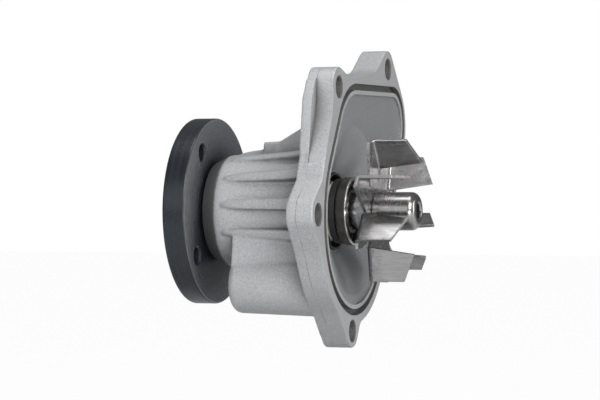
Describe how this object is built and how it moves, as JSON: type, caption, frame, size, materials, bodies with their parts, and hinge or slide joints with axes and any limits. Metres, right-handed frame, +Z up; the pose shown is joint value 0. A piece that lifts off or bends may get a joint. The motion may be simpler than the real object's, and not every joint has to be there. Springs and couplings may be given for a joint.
{
  "type": "automotive water pump",
  "caption": "Engine coolant pump: cast housing with lugged plate and bearing boss, round bolt-on pulley flange, sealed shaft bearing, mechanical seal and folded-sheet impeller.",
  "frame": {"origin": "where the shaft axis meets the plane of the mounting face, which seats on the engine", "axes": "+X along the shaft from the pulley flange to the impeller, +Z up, -Y the side with the middle lug"},
  "size_m": [0.1013, 0.1303, 0.1281],
  "materials": {
    "cast_aluminium": "as-cast, blasted, with a milled mounting face",
    "black_steel": "black coated, satin",
    "ground_steel": "ground bright",
    "stainless_sheet": "stamped, bright with rolling streaks",
    "black_rubber": "matt",
    "carbon": "lapped",
    "ceramic": "lapped",
    "brown_cage": "moulded"
  },
  "bodies": {
    "housing_body": {"housing": "cast_aluminium", "bearing_outer_ring": "ground_steel", "bearing_seal_front": "black_rubber", "bearing_seal_rear": "black_rubber", "seal_case": "black_steel", "seal_bellows": "black_rubber", "seal_spring": "ground_steel"},
    "rotor": {"pump_shaft": "ground_steel", "pulley_flange": "black_steel", "impeller_hub": "stainless_sheet", "impeller": "stainless_sheet", "seal_rotor_cup": "stainless_sheet", "seal_rotor_boot": "black_rubber", "seal_ceramic_ring": "ceramic"},
    "ball_train_front": {"ball_cage_front": "brown_cage", "ball_front_1": "ground_steel", "ball_front_2": "ground_steel", "ball_front_3": "ground_steel", "ball_front_4": "ground_steel", "ball_front_5": "ground_steel", "ball_front_6": "ground_steel", "ball_front_7": "ground_steel", "ball_front_8": "ground_steel"},
    "ball_train_rear": {"ball_cage_rear": "brown_cage", "ball_rear_1": "ground_steel", "ball_rear_2": "ground_steel", "ball_rear_3": "ground_steel", "ball_rear_4": "ground_steel", "ball_rear_5": "ground_steel", "ball_rear_6": "ground_steel", "ball_rear_7": "ground_steel", "ball_rear_8": "ground_steel"},
    "seal_face": {"seal_carbon_ring": "carbon"}
  },
  "joints": [
    {"name": "shaft_spin", "type": "hinge", "parent": "housing_body", "child": "rotor", "pos_m": [0, 0, 0], "axis": [1, 0, 0], "continuous": true},
    {"name": "front_cage_spin", "type": "hinge", "parent": "housing_body", "child": "ball_train_front", "pos_m": [-0.047, 0, 0], "axis": [1, 0, 0], "continuous": true},
    {"name": "rear_cage_spin", "type": "hinge", "parent": "housing_body", "child": "ball_train_rear", "pos_m": [-0.031, 0, 0], "axis": [1, 0, 0], "continuous": true},
    {"name": "seal_face_float", "type": "slide", "parent": "housing_body", "child": "seal_face", "axis": [1, 0, 0], "range_m": [-0.0015, 0], "stiffness_N_per_m": 2000, "springref_m": 0.003, "deforming": ["seal_spring", "seal_bellows"]}
  ],
  "couplings": [
    {"joint": "front_cage_spin", "follows": "shaft_spin", "ratio": 0.3532},
    {"joint": "rear_cage_spin", "follows": "shaft_spin", "ratio": 0.3532}
  ]
}
